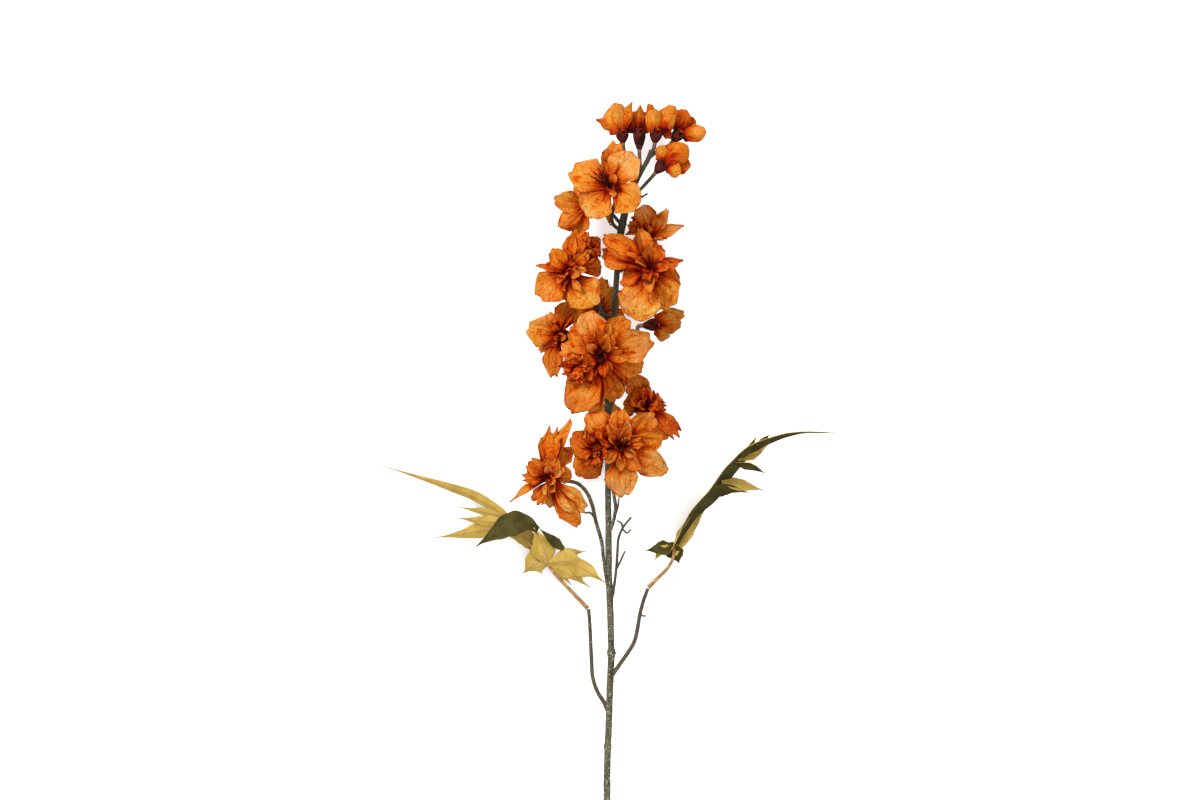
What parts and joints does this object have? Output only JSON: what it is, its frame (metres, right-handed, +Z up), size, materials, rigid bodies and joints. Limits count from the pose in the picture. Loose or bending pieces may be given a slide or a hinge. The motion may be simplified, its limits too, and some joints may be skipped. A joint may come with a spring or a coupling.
{
  "type": "delphinium flower spike",
  "caption": "Artificial orange delphinium stem lying flat: ruffled fabric blooms in dark calyces up a green stem, over two deeply cut leaves.",
  "frame": {"origin": "bottom centre of the bounding box: on the surface it lies on, midway between its sides and its ends", "axes": "+Y from the cut end of the stem to the tip of the spike, +Z up from the surface, +X to the right when looked at from above with the tip away from the viewer"},
  "size_m": [0.3208, 0.5987, 0.0688],
  "materials": {
    "petal": "matt crinkled printed cloth",
    "leaf": "matt coated cloth, green above and ochre below",
    "stem": "matt, mottled",
    "calyx": "matt",
    "stamen": "matt"
  },
  "bodies": {
    "root": {"main_stem": "stem", "leaf_left": "leaf", "leaf_right": "leaf", "petals_01": "petal", "calyx_01": "calyx", "petals_02": "petal", "calyx_02": "calyx", "petals_03": "petal", "calyx_03": "calyx", "petals_04": "petal", "calyx_04": "calyx", "petals_05": "petal", "calyx_05": "calyx", "petals_06": "petal", "calyx_06": "calyx", "stamens_06": "stamen", "petals_07": "petal", "calyx_07": "calyx", "petals_08": "petal", "calyx_08": "calyx", "petals_09": "petal", "calyx_09": "calyx", "stamens_09": "stamen", "petals_10": "petal", "calyx_10": "calyx", "petals_11": "petal", "calyx_11": "calyx", "petals_12": "petal", "calyx_12": "calyx", "petals_13": "petal", "calyx_13": "calyx", "stamens_13": "stamen", "petals_14": "petal", "calyx_14": "calyx", "petals_15": "petal", "calyx_15": "calyx", "stamens_15": "stamen", "petals_16": "petal", "calyx_16": "calyx", "stamens_16": "stamen", "petals_17": "petal", "calyx_17": "calyx", "petals_18": "petal", "calyx_18": "calyx", "petals_19": "petal", "calyx_19": "calyx"}
  },
  "joints": []
}
